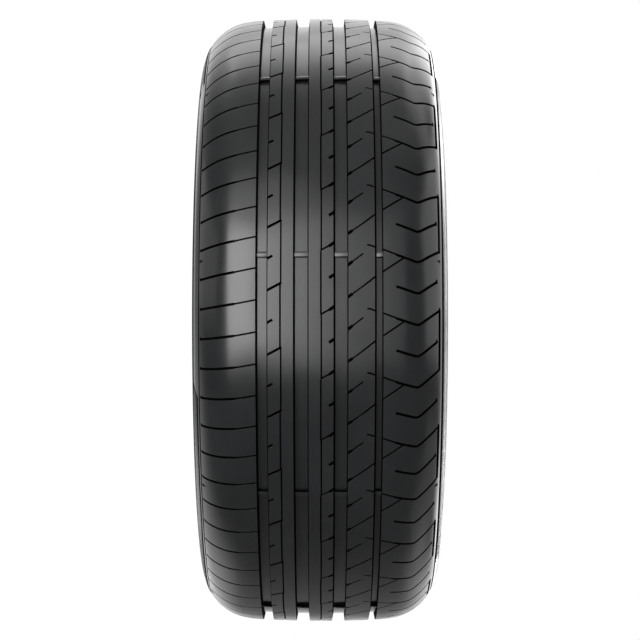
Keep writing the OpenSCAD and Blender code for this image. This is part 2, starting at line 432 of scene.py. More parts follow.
def wall_depth(painted_shade: float, floor: float, chamfer: float, draft: float) -> float:
    """Depth below the tread's face at a distance in from a cut's edge.

    Args:
        painted_shade: Distance in from the edge, negative outside.
        floor: Depth of the floor.
        chamfer: Width and depth of the chamfer.
        draft: Width that the wall takes up from the chamfer to the floor.

    Returns:
        The depth in millimetres.
    """
    if painted_shade <= 0:
        return 0.0
    if painted_shade <= chamfer:
        return painted_shade
    if painted_shade >= chamfer + draft:
        return floor
    return chamfer + (floor - chamfer) * (painted_shade - chamfer) / draft


@dataclass
class TreadPattern:
    """Layout of the tread: four main grooves, and the cuts of one whole repeat of the pattern.

    A cut's points are (t, z), with t round the tread and z along the axle from its middle.
    """

    tread_r: float
    repeat_count: int = 17
    # Ribs and main grooves
    centre_rib_z: float = 0.95
    centre_rib_w: float = 22.7
    lower_rib_w: float = 23.3
    upper_rib_w: float = 24.1
    lower_inner_w: float = 14.6
    upper_inner_w: float = 14.1
    lower_outer_w: float = 11.5
    upper_outer_w: float = 8.2
    # Cuts, by what they are
    cut_depth: float = 6.0
    shoulder_cut_w: float = 2.6
    rib_cut_w: float = 2.55
    notch_w: float = 3.1
    tip_w: float = 1.8
    run_w: float = 2.3
    slit_w: float = 1.5
    sipe_w: float = 1.7
    strip_w: float = 1.7
    strip_depth: float = 1.2
    # Height where cuts end at the tread edge, and how far they run into a groove or the next stretch
    reach: float = 112.1
    overlap: float = 1.2
    run_on: float = 0.6
    # Walls of sipes and slits, and of wider cuts
    fine_chamfer: float = 0.05
    fine_draft: float = 0.08
    open_chamfer: float = 0.1
    open_draft: float = 0.12
    cuts: list[Cut] = field(default_factory=list)

    @property
    def repeat(self) -> float:
        """Length round the tread of one whole repeat."""
        return 2 * math.pi * self.tread_r / self.repeat_count

    def grooves(self) -> list[Groove]:
        """The four main grooves, counted up the z axis."""
        top = self.centre_rib_z - self.centre_rib_w / 2
        bottom = top - self.lower_inner_w
        outer = bottom - self.lower_rib_w
        low = self.centre_rib_z + self.centre_rib_w / 2
        high = low + self.upper_inner_w
        far = high + self.upper_rib_w
        return [
            Groove(outer - self.lower_outer_w, outer),
            Groove(bottom, top),
            Groove(low, high),
            Groove(far, far + self.upper_outer_w),
        ]

    def add(self, start: Point, end: Point, width: float, per_repeat: int, depth: float = 0.0) -> None:
        """Adds a cut as often as it comes in one repeat, with its neighbours beyond both ends.

        Args:
            start: First (t, z) point.
            end: Last (t, z) point.
            width: Width of the cut.
            per_repeat: Copies in one repeat: 4 at every step, 2 at every pitch, 1 once.
            depth: Depth, or 0 for the usual one.
        """
        if width <= self.sipe_w:
            chamfer, draft = self.fine_chamfer, self.fine_draft
        else:
            chamfer, draft = self.open_chamfer, self.open_draft
        cut = Cut(start, end, width, depth or self.cut_depth, chamfer, draft)
        for k in range(-per_repeat, 2 * per_repeat):
            self.cuts.append(cut.moved(k * self.repeat / per_repeat))

    def add_path(self, path: list[Point], width: float, per_repeat: int) -> None:
        """Adds a bent cut through some points, each stretch a little into the next."""
        for start, end in zip(path, path[1:]):
            share = self.run_on / math.dist(start, end)
            reach = (end[0] + share * (end[0] - start[0]), end[1] + share * (end[1] - start[1]))
            self.add(start, end if end is path[-1] else reach, width, per_repeat)

    def add_lower_shoulder(self, low: Groove) -> None:
        """Cuts across the shoulder on the lower side: a sipe that opens into a wider cut."""
        self.add((-18.8, low.low + self.overlap), (-14.8, -79.5), self.sipe_w, 4)
        self.add((-15.0, -79.0), (-10.2, -self.reach), self.shoulder_cut_w, 4)
        self.add((-9.6, 0.9 - self.reach), (-12.3, 0.9 - self.reach), self.tip_w, 4)

    def add_lower_rib(self, low: Groove) -> None:
        """Cuts of the rib on the lower side: a notch, a slanted cut, and slots that run on from it."""
        edge = low.high
        slot_z = edge + 0.52 * self.lower_rib_w
        self.add((2.9, edge - self.overlap), (-0.3, edge + 4.5), self.rib_cut_w, 2)
        self.add((-27.0, edge - self.overlap), (-34.6, slot_z + self.sipe_w / 2), self.rib_cut_w, 2)
        self.add((-93.5, slot_z), (-34.6, slot_z), self.slit_w, 1)
        self.add((-34.0, slot_z - 0.6), (25.5, slot_z - 0.6), self.strip_w, 1, self.strip_depth)

    def add_centre_rib(self, groove: Groove) -> None:
        """Cuts of the centre rib: a slanted sipe that opens out, a notch, and the slots between them."""
        edge = groove.low
        slot_z = self.centre_rib_z + 0.25
        notch_z = edge - 0.18 * self.centre_rib_w
        self.add((-5.0, slot_z - self.sipe_w / 2), (-9.4, notch_z), self.sipe_w, 2)
        self.add((-8.9, notch_z), (-12.9, edge + self.overlap), self.notch_w, 2)
        self.add((20.8, notch_z), (17.3, edge + self.overlap), self.notch_w, 2)
        self.add((-5.0, slot_z), (55.0, slot_z), self.slit_w, 1)
        self.add((-64.0, slot_z - 0.4), (-5.0, slot_z - 0.4), self.strip_w, 1, self.strip_depth)

    def add_upper_rib(self, inner: Groove, outer: Groove) -> None:
        """Cuts of the rib on the upper side: a full slanted cut, a short one and a bent sipe."""
        edge, far = inner.high, outer.low
        mid = edge + 0.565 * self.upper_rib_w
        foot = edge + 3.6
        for mouth, end in ((-20.7, -31.5), (-50.5, -62.0)):
            turn = mouth + (end - mouth) * (foot - edge + self.overlap) / (mid - edge + self.overlap)
            self.add((mouth, edge - self.overlap), (turn, foot), self.notch_w, 2)
            self.add((turn + 0.5, foot - 0.7), (end, mid), self.slit_w, 2)
        self.add((-31.1, mid - 0.5), (-40.8, far + self.overlap), self.sipe_w, 2)
        self.add((-10.6, far - 7.0), (-10.1, far - 3.6), self.sipe_w, 2)
        self.add((-10.2, far - 4.0), (-8.2, far + self.overlap), self.sipe_w, 2)

    def add_upper_shoulder(self, outer: Groove) -> None:
        """Cuts of the shoulder on the upper side: hooked cuts, long and short in turn, and their sipes."""
        mouth = outer.high - self.overlap
        root, bend = 70.2, 90.2
        self.add((-6.6, mouth), (-1.7, root + 0.5), self.sipe_w, 2)
        for shift, tip_t, tip_z in ((0.0, -9.8, self.reach), (-29.8, -8.2, 109.4)):
            hook = [(shift - 1.5, root), (shift + 3.3, bend - 5.2), (shift + 4.5, bend - 1.6),
                    (shift + 4.7, bend + 0.6), (shift + 3.6, bend + 3.2), (shift + tip_t, tip_z)]
            self.add_path(hook, self.shoulder_cut_w, 2)
            self.add((shift + tip_t + 0.6, tip_z - 0.9), (shift + tip_t - 2.3, tip_z - 0.9), self.tip_w, 2)
        self.add((15.1, mouth), (1.4, 77.5), self.sipe_w, 2)
        self.add((-9.0, self.reach - 0.85), (50.0, self.reach - 0.85), self.run_w, 1)

    def draw(self) -> list[Groove]:
        """Draws every cut, and returns the main grooves."""
        grooves = self.grooves()
        self.add_lower_shoulder(grooves[0])
        self.add_lower_rib(grooves[0])
        self.add_centre_rib(grooves[2])
        self.add_upper_rib(grooves[2], grooves[3])
        self.add_upper_shoulder(grooves[3])
        return grooves


def new_piece(name: str, mesh: bpy.types.Mesh) -> bpy.types.Object:
    """Makes an object of a mesh, in the scene."""
    piece = bpy.data.objects.new(name, mesh)
    bpy.context.scene.collection.objects.link(piece)
    return piece


def mesh_of(name: str, points: list[Spot], faces: list[Face]) -> bpy.types.Mesh:
    """Makes a mesh from points in metres and faces."""
    mesh = bpy.data.meshes.new(name)
    mesh.from_pydata(points, [], faces)
    mesh.update()
    return mesh


def spot(angle: float, r: float, z: float) -> Spot:
    """Point at an angle round the axle, a radius and a height, in metres."""
    return r * math.cos(angle) * MM, r * math.sin(angle) * MM, z * MM


def keep_depth(mesh: bpy.types.Mesh, depths: list[float]) -> None:
    """Keeps on each point the depth that it counts as, for the rubber's painted shade."""
    mesh.attributes.new("depth", "FLOAT", "POINT").data.foreach_set("value", depths)


@dataclass
class Shell:
    """A closed shell under construction: points in metres, the depth that each counts as, and faces."""

    points: list[Spot] = field(default_factory=list)
    depths: list[float] = field(default_factory=list)
    faces: list[Face] = field(default_factory=list)

    def join(self, other: Shell) -> None:
        """Takes another shell's points and faces in."""
        first = len(self.points)
        self.faces += [tuple(i + first for i in face) for face in other.faces]
        self.points += other.points
        self.depths += other.depths

    def piece(self, name: str) -> bpy.types.Object:
        """Makes a piece of the shell, with its faces turned outwards."""
        mesh = mesh_of(name, self.points, self.faces)
        if self.depths:
            keep_depth(mesh, self.depths)
        work = bmesh.new()
        work.from_mesh(mesh)
        bmesh.ops.recalc_face_normals(work, faces=work.faces)
        work.to_mesh(mesh)
        work.free()
        return new_piece(name, mesh)


def srgb(code: str) -> tuple[float, float, float, float]:
    """Turns a hex colour into the linear one that shaders take."""
    parts = [int(code[i:i + 2], 16) / 255 for i in (1, 3, 5)]
    linear = [c / 12.92 if c <= 0.04045 else ((c + 0.055) / 1.055) ** 2.4 for c in parts]
    return linear[0], linear[1], linear[2], 1.0


class NodeBench:
    """A node tree under construction, with one way to add a node."""

    def __init__(self, tree: bpy.types.NodeTree) -> None:
        """Takes the tree, with its first nodes in place."""
        self.tree = tree
        self.nodes = tree.nodes

    def add(self, kind: str, settings: dict | None = None, **links: object) -> bpy.types.Node:
        """Adds a node, with its settings and what each input takes.

        Args:
            kind: Blender's name of the node.
            settings: Values of the node's own properties.
            **links: Inputs, each with a socket or a value. An input goes by its name, with _ for a
                space, or by i and its place.

        Returns:
            The node.
        """
        node = self.nodes.new(kind)
        for key, value in (settings or {}).items():
            setattr(node, key, value)
        for key, value in links.items():
            by_place = key[0] == "i" and key[1:].isdigit()
            self.feed(node.inputs[int(key[1:]) if by_place else key.replace("_", " ")], value)
        return node

    def feed(self, socket: Socket, value: object) -> None:
        """Links a socket to another, or sets its value."""
        if isinstance(value, Socket):
            self.tree.links.new(value, socket)
        else:
            socket.default_value = value


class SpreadTree:
    """A Geometry Nodes tree that repeats its input round the axle line."""

    NAME = "Spread round the axle"
    INPUTS = (
        ("Count", "NodeSocketInt", 17),
        ("Start", "NodeSocketFloat", 0.0),
        ("Spacing", "NodeSocketFloat", 0.1),
        ("Snap", "NodeSocketFloat", 0.1),
        ("Phase", "NodeSocketFloat", 0.5),
        ("Weld", "NodeSocketFloat", 0.0),
        ("Material", "NodeSocketMaterial", None),
    )
    # From a copy's number to its angle: times spacing, let down to a whole number of snaps, plus the start
    STEPS = (
        ("MULTIPLY", "Spacing"),
        ("DIVIDE", "Snap"),
        ("ADD", "Phase"),
        ("FLOOR", None),
        ("MULTIPLY", "Snap"),
        ("ADD", "Start"),
    )

    def __init__(self) -> None:
        """Builds the tree once, with named inputs for how many copies there are and where."""
        self.tree = bpy.data.node_groups.new(self.NAME, "GeometryNodeTree")
        sockets = self.tree.interface
        sockets.new_socket("Geometry", in_out="INPUT", socket_type="NodeSocketGeometry")
        for name, kind, default in self.INPUTS:
            socket = sockets.new_socket(name, in_out="INPUT", socket_type=kind)
            if default is not None:
                socket.default_value = default
        sockets.new_socket("Geometry", in_out="OUTPUT", socket_type="NodeSocketGeometry")
        bench = NodeBench(self.tree)
        given = bench.add("NodeGroupInput").outputs
        points = bench.add("GeometryNodePoints", Count=given["Count"])
        angle = bench.add("GeometryNodeInputIndex").outputs[0]
        for operation, name in self.STEPS:
            second = {"i1": given[name]} if name else {}
            angle = bench.add("ShaderNodeMath", {"operation": operation}, i0=angle, **second).outputs[0]
        rotation = bench.add("ShaderNodeCombineXYZ", Z=angle)
        spread = bench.add("GeometryNodeInstanceOnPoints", Points=points.outputs[0],
                           Instance=given["Geometry"], Rotation=rotation.outputs[0])
        real = bench.add("GeometryNodeRealizeInstances", i0=spread.outputs[0])
        weld = bench.add("GeometryNodeMergeByDistance", Geometry=real.outputs[0], Distance=given["Weld"])
        paint = bench.add("GeometryNodeSetMaterial", Geometry=weld.outputs[0], Material=given["Material"])
        bench.add("NodeGroupOutput", i0=paint.outputs[0])

    def spread(self, piece: bpy.types.Object, material: bpy.types.Material, **inputs: float) -> None:
        """Repeats a piece's mesh with this tree, and leaves the result as its plain mesh.

        Args:
            piece: Object whose mesh is repeated.
            material: Material of every copy.
            **inputs: Values of the tree's inputs, by name in lower case.
        """
        modifier = piece.modifiers.new("spread", "NODES")
        modifier.node_group = self.tree
        values = {name.capitalize(): value for name, value in inputs.items()}
        values["Material"] = material
        for item in self.tree.interface.items_tree:
            if item.in_out == "INPUT" and item.name in values:
                modifier[item.identifier] = values[item.name]
        bpy.context.view_layer.update()
        evaluated = piece.evaluated_get(bpy.context.evaluated_depsgraph_get())
        mesh = bpy.data.meshes.new_from_object(evaluated)
        old = piece.data
        piece.modifiers.clear()
        piece.data = mesh
        bpy.data.meshes.remove(old)


class TreadCell:
    """One repeat of the tread, drawn flat, cut into facets and wrapped onto the crown."""

    # Facets of the sidewalls that one repeat meets, so the cell has an edge at each of them
    ROWS = 9
    # Points nearer to one another than this, in millimetres, become one
    SNAP = 1e-4
    # Length of the stretches of tread by which the cuts are filed
    BIN = 10.0
    # Lines of the crown this near to an edge of the pattern are left out
    CLEAR = 1.0
    # Cuts that end this far outside the repeat do not reach into it
    BEYOND = 3.0

    def __init__(self, section: Section, pattern: TreadPattern) -> None:
        """Takes the section and the pattern, and files its cuts by the stretch of tread that they reach."""
        self.section = section
        self.pattern = pattern
        self.grooves = pattern.draw()
        self.near: dict[int, list[Cut]] = {}
        for cut in pattern.cuts:
            low = min(cut.start[0], cut.end[0]) - cut.width
            high = max(cut.start[0], cut.end[0]) + cut.width
            for place in range(int(low // self.BIN), int(high // self.BIN) + 1):
                self.near.setdefault(place, []).append(cut)

    def levels(self) -> list[float]:
        """Heights of the lines that run round the tread: the crown's facets and the grooves' edges."""
        edge = self.section.tread_edge
        chain = Section.chain(self.section.outer_arcs(), self.section.tread_r)
        crown = [z for z, _ in chain if z < edge - self.CLEAR]
        lines = sorted({round(z, 4) for z in crown + [edge]} | {-round(z, 4) for z in crown + [edge]})
        walls = [z for groove in self.grooves for z in groove.lines()]
        clear = [z for z in lines if all(abs(z - w) > self.CLEAR for w in walls)]
        return sorted(clear + walls)

    def plan(self) -> tuple[list[Point], list[Face]]:
        """Cuts the flat cell into triangles along every edge of the pattern.

        Returns:
            Points as (t, z) and triangles, within one repeat.
        """
        repeat, edge = self.pattern.repeat, self.section.tread_edge
        points: list[Vector] = []
        edges: list[tuple[int, int]] = []

        def add_line(a: Point, b: Point) -> None:
            """Adds one edge that the triangles keep to."""
            points.extend((Vector(a), Vector(b)))
            edges.append((len(points) - 2, len(points) - 1))

        for z in self.levels():
            add_line((0.0, z), (repeat, z))
        for row in range(self.ROWS + 1):
            t = row * repeat / self.ROWS
            add_line((t, -edge), (t, edge))
        for cut in self.pattern.cuts:
            ends = (cut.start[0], cut.end[0])
            if max(ends) < -self.BEYOND or min(ends) > repeat + self.BEYOND:
                continue
            for inset in cut.insets():
                corners = cut.outline(inset)
                for a, b in zip(corners, corners[1:] + corners[:1]):
                    add_line(a, b)
        flat, _, faces, _, _, _ = geometry.delaunay_2d_cdt(points, edges, [], 0, self.SNAP)
        kept = []
        for face in faces:
            t = sum(flat[i].x for i in face) / 3
            z = sum(flat[i].y for i in face) / 3
            if 0 < t < repeat and abs(z) < edge:
                kept.append(tuple(face))
        return [(p.x, p.y) for p in flat], kept

    def depth_at(self, t: float, z: float) -> float:
        """Depth of the pattern at a point of the flat tread."""
        depth = max(groove.depth_at(z) for groove in self.grooves)
        for cut in self.near.get(int(t // self.BIN), ()):
            depth = max(depth, cut.depth_at(t, z))
        return depth

    def build(self) -> bpy.types.Mesh:
        """Wraps the flat cell onto the crown, with the pattern's depth kept on each point."""
        flat, faces = self.plan()
        used = sorted({i for face in faces for i in face})
        place = {old: new for new, old in enumerate(used)}
        points, depths = [], []
        for i in used:
            t, z = flat[i]
            depth = self.depth_at(t, z)
            points.append(spot(t / self.section.tread_r, self.section.face(z)[0] - depth, z))
            depths.append(depth)
        mesh = mesh_of("tread_cell", points, [tuple(place[i] for i in face) for face in faces])
        keep_depth(mesh, depths)
        LOG.info("tread cell: %d triangles, %d cuts", len(faces), len(self.pattern.cuts))
        return mesh


class Tyre:
    """The moulded tyre in one closed shell: patterned tread, sidewalls, beads and liner."""

    # Where the first repeat starts: in the middle of the view from the front
    START = math.radians(270)
    # Points nearer to one another than this, in metres, become one
    WELD = 2e-6
    # Edges that turn by more than this stay crisp
    SHARP = math.radians(28)
    # How far a face points out of the tread, as a cosine: the tread's face, or a chamfer, or else a wall
    FACE_RISE = 0.93
    CHAMFER_RISE = 0.4
    # A point with less depth than this, in millimetres, lies on the tread's face
    ON_FACE = 1e-3
    # Share of its outward part that a chamfer's normal loses
    CHAMFER_TILT = 0.9
    # Depth of the walls' points, so that they never take the cuts' painted shade
    UNCUT = -1.0

    def __init__(self, section: Section, pattern: TreadPattern, spread: SpreadTree) -> None:
        """Takes the section, the tread pattern and the tree that repeats a cell."""
        self.section = section
        self.pattern = pattern
        self.spread = spread

    def walls(self) -> bpy.types.Mesh:
        """The ring of sidewalls, beads and liner that closes the tread from below."""
        section = self.section
        upper, upper_zones = section.half_ring(section.upper_line_z, section.upper_line_w)
        lower, lower_zones = section.half_ring(section.lower_line_z, section.lower_line_w)
        ring = upper + [(-z, r) for z, r in lower[-2::-1]]
        materials = upper_zones[:-1] + lower_zones[-2::-1]
        count = TreadCell.ROWS * self.pattern.repeat_count
        points, faces, kinds = [], [], []
        for k in range(count):
            angle = self.START + 2 * math.pi * k / count
            points += [spot(angle, r, z) for z, r in ring]
        size = len(ring)
        for k in range(count):
            here, there = k * size, (k + 1) % count * size
            for i in range(size - 1):
                faces.append((here + i, there + i, there + i + 1, here + i + 1))
                kinds.append(materials[i].value)
        mesh = mesh_of("walls", points, faces)
        mesh.polygons.foreach_set("material_index", kinds)
        depths = [self.UNCUT] * size
        # The floors of the two edge lines, painted dark with the cuts' painted shade
        for i in (3, 4, size - 5, size - 4):
            depths[i] = section.edge_line_depth
        keep_depth(mesh, depths * count)
        return mesh

    def build(self, tread: bpy.types.Material, side: bpy.types.Material,
              liner: bpy.types.Material) -> bpy.types.Object:
        """Repeats the tread cell round the tyre, closes it with the walls and smooths it.

        Args:
            tread: Rubber of the tread.
            side: Rubber of the sidewalls and beads.
            liner: Rubber of the liner.

        Returns:
            The tyre's object.
        """
        piece = new_piece("tyre_rubber", TreadCell(self.section, self.pattern).build())
        turn = 2 * math.pi / self.pattern.repeat_count
        self.spread.spread(piece, tread, count=self.pattern.repeat_count, start=self.START, spacing=turn,
                           snap=turn, phase=0.5, weld=self.WELD)
        work = bmesh.new()
        work.from_mesh(piece.data)
        for face in work.faces:
            face.material_index = Zone.TREAD.value
        work.from_mesh(self.walls())
        bmesh.ops.remove_doubles(work, verts=work.verts, dist=self.WELD)
        bmesh.ops.recalc_face_normals(work, faces=work.faces)
        loose = sum(1 for edge in work.edges if not edge.is_manifold)
        mesh = bpy.data.meshes.new("tyre_rubber")
        work.to_mesh(mesh)
        work.free()
        piece.data = mesh
        mesh.materials.clear()
        for material in (tread, side, liner):
            mesh.materials.append(material)
        self.smooth(mesh)
        LOG.info("tyre_rubber: %d faces, %d open edges", len(mesh.polygons), loose)
        return piece

    def smooth(self, mesh: bpy.types.Mesh) -> None:
        """Gives the tread true normals, so that its fine facets do not show in its gloss."""
        mesh.set_sharp_from_angle(angle=self.SHARP)
        mesh.polygons.foreach_set("use_smooth", [True] * len(mesh.polygons))
        mesh.update()
        normals = np.empty(len(mesh.loops) * 3)
        mesh.corner_normals.foreach_get("vector", normals)
        normals = normals.reshape(-1, 3)
        depth = np.empty(len(mesh.vertices))
        mesh.attributes["depth"].data.foreach_get("value", depth)
        for face in mesh.polygons:
            if face.material_index != Zone.TREAD.value:
                continue
            flat = face.normal
            middle = math.atan2(face.center.y, face.center.x)
            for corner in face.loop_indices:
                vertex = mesh.loops[corner].vertex_index
                at = mesh.vertices[vertex].co
                angle = math.atan2(at.y, at.x)
                lean = self.section.face(at.z / MM)[1]
                up = Vector((math.cos(lean) * math.cos(angle), math.cos(lean) * math.sin(angle),
                             math.copysign(math.sin(lean), at.z)))
                turned = flat.copy()
                turned.rotate(Matrix.Rotation(angle - middle, 3, "Z"))
                rise = turned.dot(up)
                sloped = rise > self.CHAMFER_RISE
                if rise > self.FACE_RISE or (sloped and depth[vertex] < self.ON_FACE):
                    normals[corner] = up
                elif sloped:
                    normals[corner] = (turned - up * rise * self.CHAMFER_TILT).normalized()
                else:
                    normals[corner] = turned
        mesh.normals_split_custom_set(normals.tolist())


@dataclass(frozen=True)
class MouldedRubber:
    """Carbon-filled tyre rubber as it leaves the mould: near black, with a soft low gloss."""

    name: str
    base: str
    bloom: str
    # Near-black colour painted inside the cuts as their shade
    cut_shade: str
    roughness: float
    roughness_spread: float
    grain_mm: float
    grain_height_mm: float
    flow_mm: float
    # Values of the cloud noise between which the bloom comes in, and the gloss goes down
    bloom_share: Span = (0.35, 0.7)
    gloss_share: Span = (0.3, 0.75)
    # Depths in millimetres over which the painted shade and the dull finish come in inside a cut, and are
    # gone again on a groove's floor
    lip_depths: Span = (0.08, 0.35)
    floor_depths: Span = (7.7, 8.15)
    specular: float = 0.5
    # Lower specular level inside the cuts: painted shade in place of the reflections that their walls would
    # hide
    shade_specular: float = 0.04
    cut_roughness: float = 0.75
    bump_strength: float = 0.6
    # Cured natural and synthetic rubber has an index of about 1.52
    ior: float = 1.52

    def make(self) -> bpy.types.Material:
        """Builds the material, which reads Object coordinates and the depth of each point."""
        material = bpy.data.materials.new(self.name)
        material.use_nodes = True
        bench = NodeBench(material.node_tree)
        shader = bench.nodes["Principled BSDF"]
        place = bench.add("ShaderNodeTexCoord").outputs["Object"]
        # Wax that blooms out of the rubber leaves faint paler clouds a few centimetres across
        cloud = bench.add("ShaderNodeTexNoise", Vector=place, Scale=1 / (self.flow_mm * MM), Detail=3.0,
                          Roughness=0.55)
        share = bench.add("ShaderNodeMapRange", Value=cloud.outputs["Fac"], From_Min=self.bloom_share[0],
                          From_Max=self.bloom_share[1])
        colour = bench.add("ShaderNodeMix", {"data_type": "RGBA"}, i0=share.outputs[0], i6=srgb(self.base),
                           i7=srgb(self.bloom))
        # Inside the cuts the colour is painted near black and the gloss turned down: painted shade where the
        # cuts hide the light
        depth = bench.add("ShaderNodeAttribute", {"attribute_name": "depth"}).outputs["Fac"]
        entry = bench.add("ShaderNodeMapRange", Value=depth, From_Min=self.lip_depths[0],
                          From_Max=self.lip_depths[1])
        floor = bench.add("ShaderNodeMapRange", Value=depth, From_Min=self.floor_depths[0],
                          From_Max=self.floor_depths[1], To_Min=1.0, To_Max=0.0)
        painted_shade = bench.add("ShaderNodeMath", {"operation": "MULTIPLY"}, i0=entry.outputs[0],
                           i1=floor.outputs[0])
        shaded = bench.add("ShaderNodeMix", {"data_type": "RGBA"}, i0=painted_shade.outputs[0], i6=colour.outputs[2],
                           i7=srgb(self.cut_shade))
        bench.feed(shader.inputs["Base Color"], shaded.outputs[2])
        # The mould's own finish: a fine even grain, coarser than the real one so that it shows
        grain = bench.add("ShaderNodeTexNoise", Vector=place, Scale=1 / (self.grain_mm * MM), Detail=2.0)
        gloss = bench.add("ShaderNodeMapRange", Value=cloud.outputs["Fac"], From_Min=self.gloss_share[0],
                          From_Max=self.gloss_share[1], To_Min=self.roughness - self.roughness_spread,
                          To_Max=self.roughness + self.roughness_spread)
        dull = bench.add("ShaderNodeMix", {"data_type": "FLOAT"}, i0=painted_shade.outputs[0], i2=gloss.outputs[0],
                         i3=self.cut_roughness)
        bench.feed(shader.inputs["Roughness"], dull.outputs[0])
        # The painted shade also takes the reflections out of the cuts
        shine = bench.add("ShaderNodeMapRange", Value=painted_shade.outputs[0], To_Min=self.specular,
                          To_Max=self.shade_specular)
        bench.feed(shader.inputs["Specular IOR Level"], shine.outputs[0])
        bump = bench.add("ShaderNodeBump", Strength=self.bump_strength, Distance=self.grain_height_mm * MM,
                         Height=grain.outputs["Fac"])
        bench.feed(shader.inputs["Normal"], bump.outputs[0])
        bench.feed(shader.inputs["IOR"], self.ior)
        return material


@dataclass
class SidewallRelief:
    """Moulded relief of the sidewalls: serrated sectors, each inside a raised line."""

    # Azimuth in degrees where each sector starts
    STARTS = {Side.UPPER: (214.0, 34.0), Side.LOWER: (284.4, 104.4)}

    section: Section
    spread: SpreadTree
    outer_r: float = 292.4
    inner_r: float = 281.4
    rib_slant: float = 8.0
    rib_spacing: float = 2.1
    rib_w: float = 1.1
    rib_h: float = 0.5
    rib_steps: int = 3
    line_w: float = 1.2
    line_h: float = 0.45
    line_steps: int = 56
    # Half the width of a ridge's crest, as a share of its foot
    crest: float = 0.22
    # Sweep of a sector, the ribs' distance from its ends, and the slant of its ends, in degrees
    sector: float = 112.0
    margin: float = 0.25
    end_slant: float = -2.2
    sink: float = 0.4

    def on_side(self, side: Side, angle: float, r: float, lift: float) -> Spot:
        """Point on a sidewall, lifted off it along its normal, in metres."""
        z = self.section.side_z(r)
        sine = (r - self.section.widest_r) / self.section.side_radius
        out_z, out_r = math.sqrt(max(0.0, 1 - sine * sine)), sine
        return spot(angle, r + lift * out_r, side.value * (z + lift * out_z))

    def ridge(self, side: Side, path: list[Point], width: float, height: float, closed: bool) -> Shell:
        """A low ridge with a flat crest along a path of (angle, radius) points on a sidewall.

        Args:
            side: Sidewall that it stands on.
            path: Points of the middle line, angles in radians and radii in millimetres.
            width: Width at the foot.
            height: Height of the crest.
            closed: Whether the path comes back to its start.

        Returns:
            The ridge, closed, with its foot sunk into the rubber.
        """
        shape = ((-0.5 * width, -self.sink), (-self.crest * width, height), (self.crest * width, height),
                 (0.5 * width, -self.sink))
        points, faces = [], []
        last = len(path)
        for k, (angle, r) in enumerate(path):
            before = path[(k - 1) % last if closed else max(k - 1, 0)]
            after = path[(k + 1) % last if closed else min(k + 1, last - 1)]
            along = Vector(((after[0] - before[0]) * r, after[1] - before[1])).normalized()
            for across, lift in shape:
                points.append(self.on_side(side, angle - along.y * across / r, r + along.x * across, lift))
        size = len(shape)
        for k in range(last if closed else last - 1):
            here, there = k * size, (k + 1) % last * size
            for i in range(size):
                j = (i + 1) % size
                faces.append((here + i, here + j, there + j, there + i))
        if not closed:
            faces += [tuple(range(size)), tuple(last * size - 1 - i for i in range(size))]
        return Shell(points, [], faces)

    def serration(self, side: Side, start: float, material: bpy.types.Material) -> bpy.types.Object:
        """Slanted ribs of one serrated sector.

        Args:
            side: Sidewall that they stand on.
            start: Azimuth where the sector starts, in degrees.
            material: Rubber of the sidewall.

        Returns:
            The ribs, as one piece.
        """
        low, high = self.inner_r + self.line_w, self.outer_r - self.line_w
        slant = self.rib_slant / high
        path = [(slant * k / self.rib_steps, low + (high - low) * k / self.rib_steps)
                for k in range(self.rib_steps + 1)]
        spacing = self.rib_spacing / high
        margin = math.radians(self.margin) - slant
        count = int((math.radians(self.sector) - 2 * math.radians(self.margin)) / spacing)
        ribs = self.ridge(side, path, self.rib_w, self.rib_h, closed=False)
        piece = ribs.piece(f"serration_{side.name.lower()}_{int(start)}")
        self.spread.spread(piece, material, count=count, start=math.radians(start) + margin, spacing=spacing,
                           snap=spacing, phase=0.5)
        return piece

    def border(self, side: Side, start: float, material: bpy.types.Material) -> bpy.types.Object:
        """Raised line round one serrated sector, with slanted ends.

        Args:
            side: Sidewall that it stands on.
            start: Azimuth where the sector starts, in degrees.
            material: Rubber of the sidewall.

        Returns:
            The line, as one piece.
        """
        steps = self.line_steps
        top = [(start + self.sector * k / steps, self.outer_r) for k in range(steps + 1)]
        low_start, low_sweep = start + self.end_slant, self.sector - 2 * self.end_slant
        bottom = [(low_start + low_sweep * k / steps, self.inner_r) for k in range(steps, -1, -1)]
        path = [(math.radians(angle), r) for angle, r in top + bottom]
        line = self.ridge(side, path, self.line_w, self.line_h, closed=True)
        # The line is painted near black with the same painted shade as the cuts
        line.depths = [FULL_SHADE_DEPTH] * len(line.points)
        piece = line.piece(f"sector_line_{side.name.lower()}_{int(start)}")
        piece.data.materials.append(material)
        return piece

    def build(self, material: bpy.types.Material) -> list[bpy.types.Object]:
        """Makes the sectors of both sidewalls."""
        made = []
        for side, places in self.STARTS.items():
            for start in places:
                made += [self.serration(side, start, material), self.border(side, start, material)]
        return made


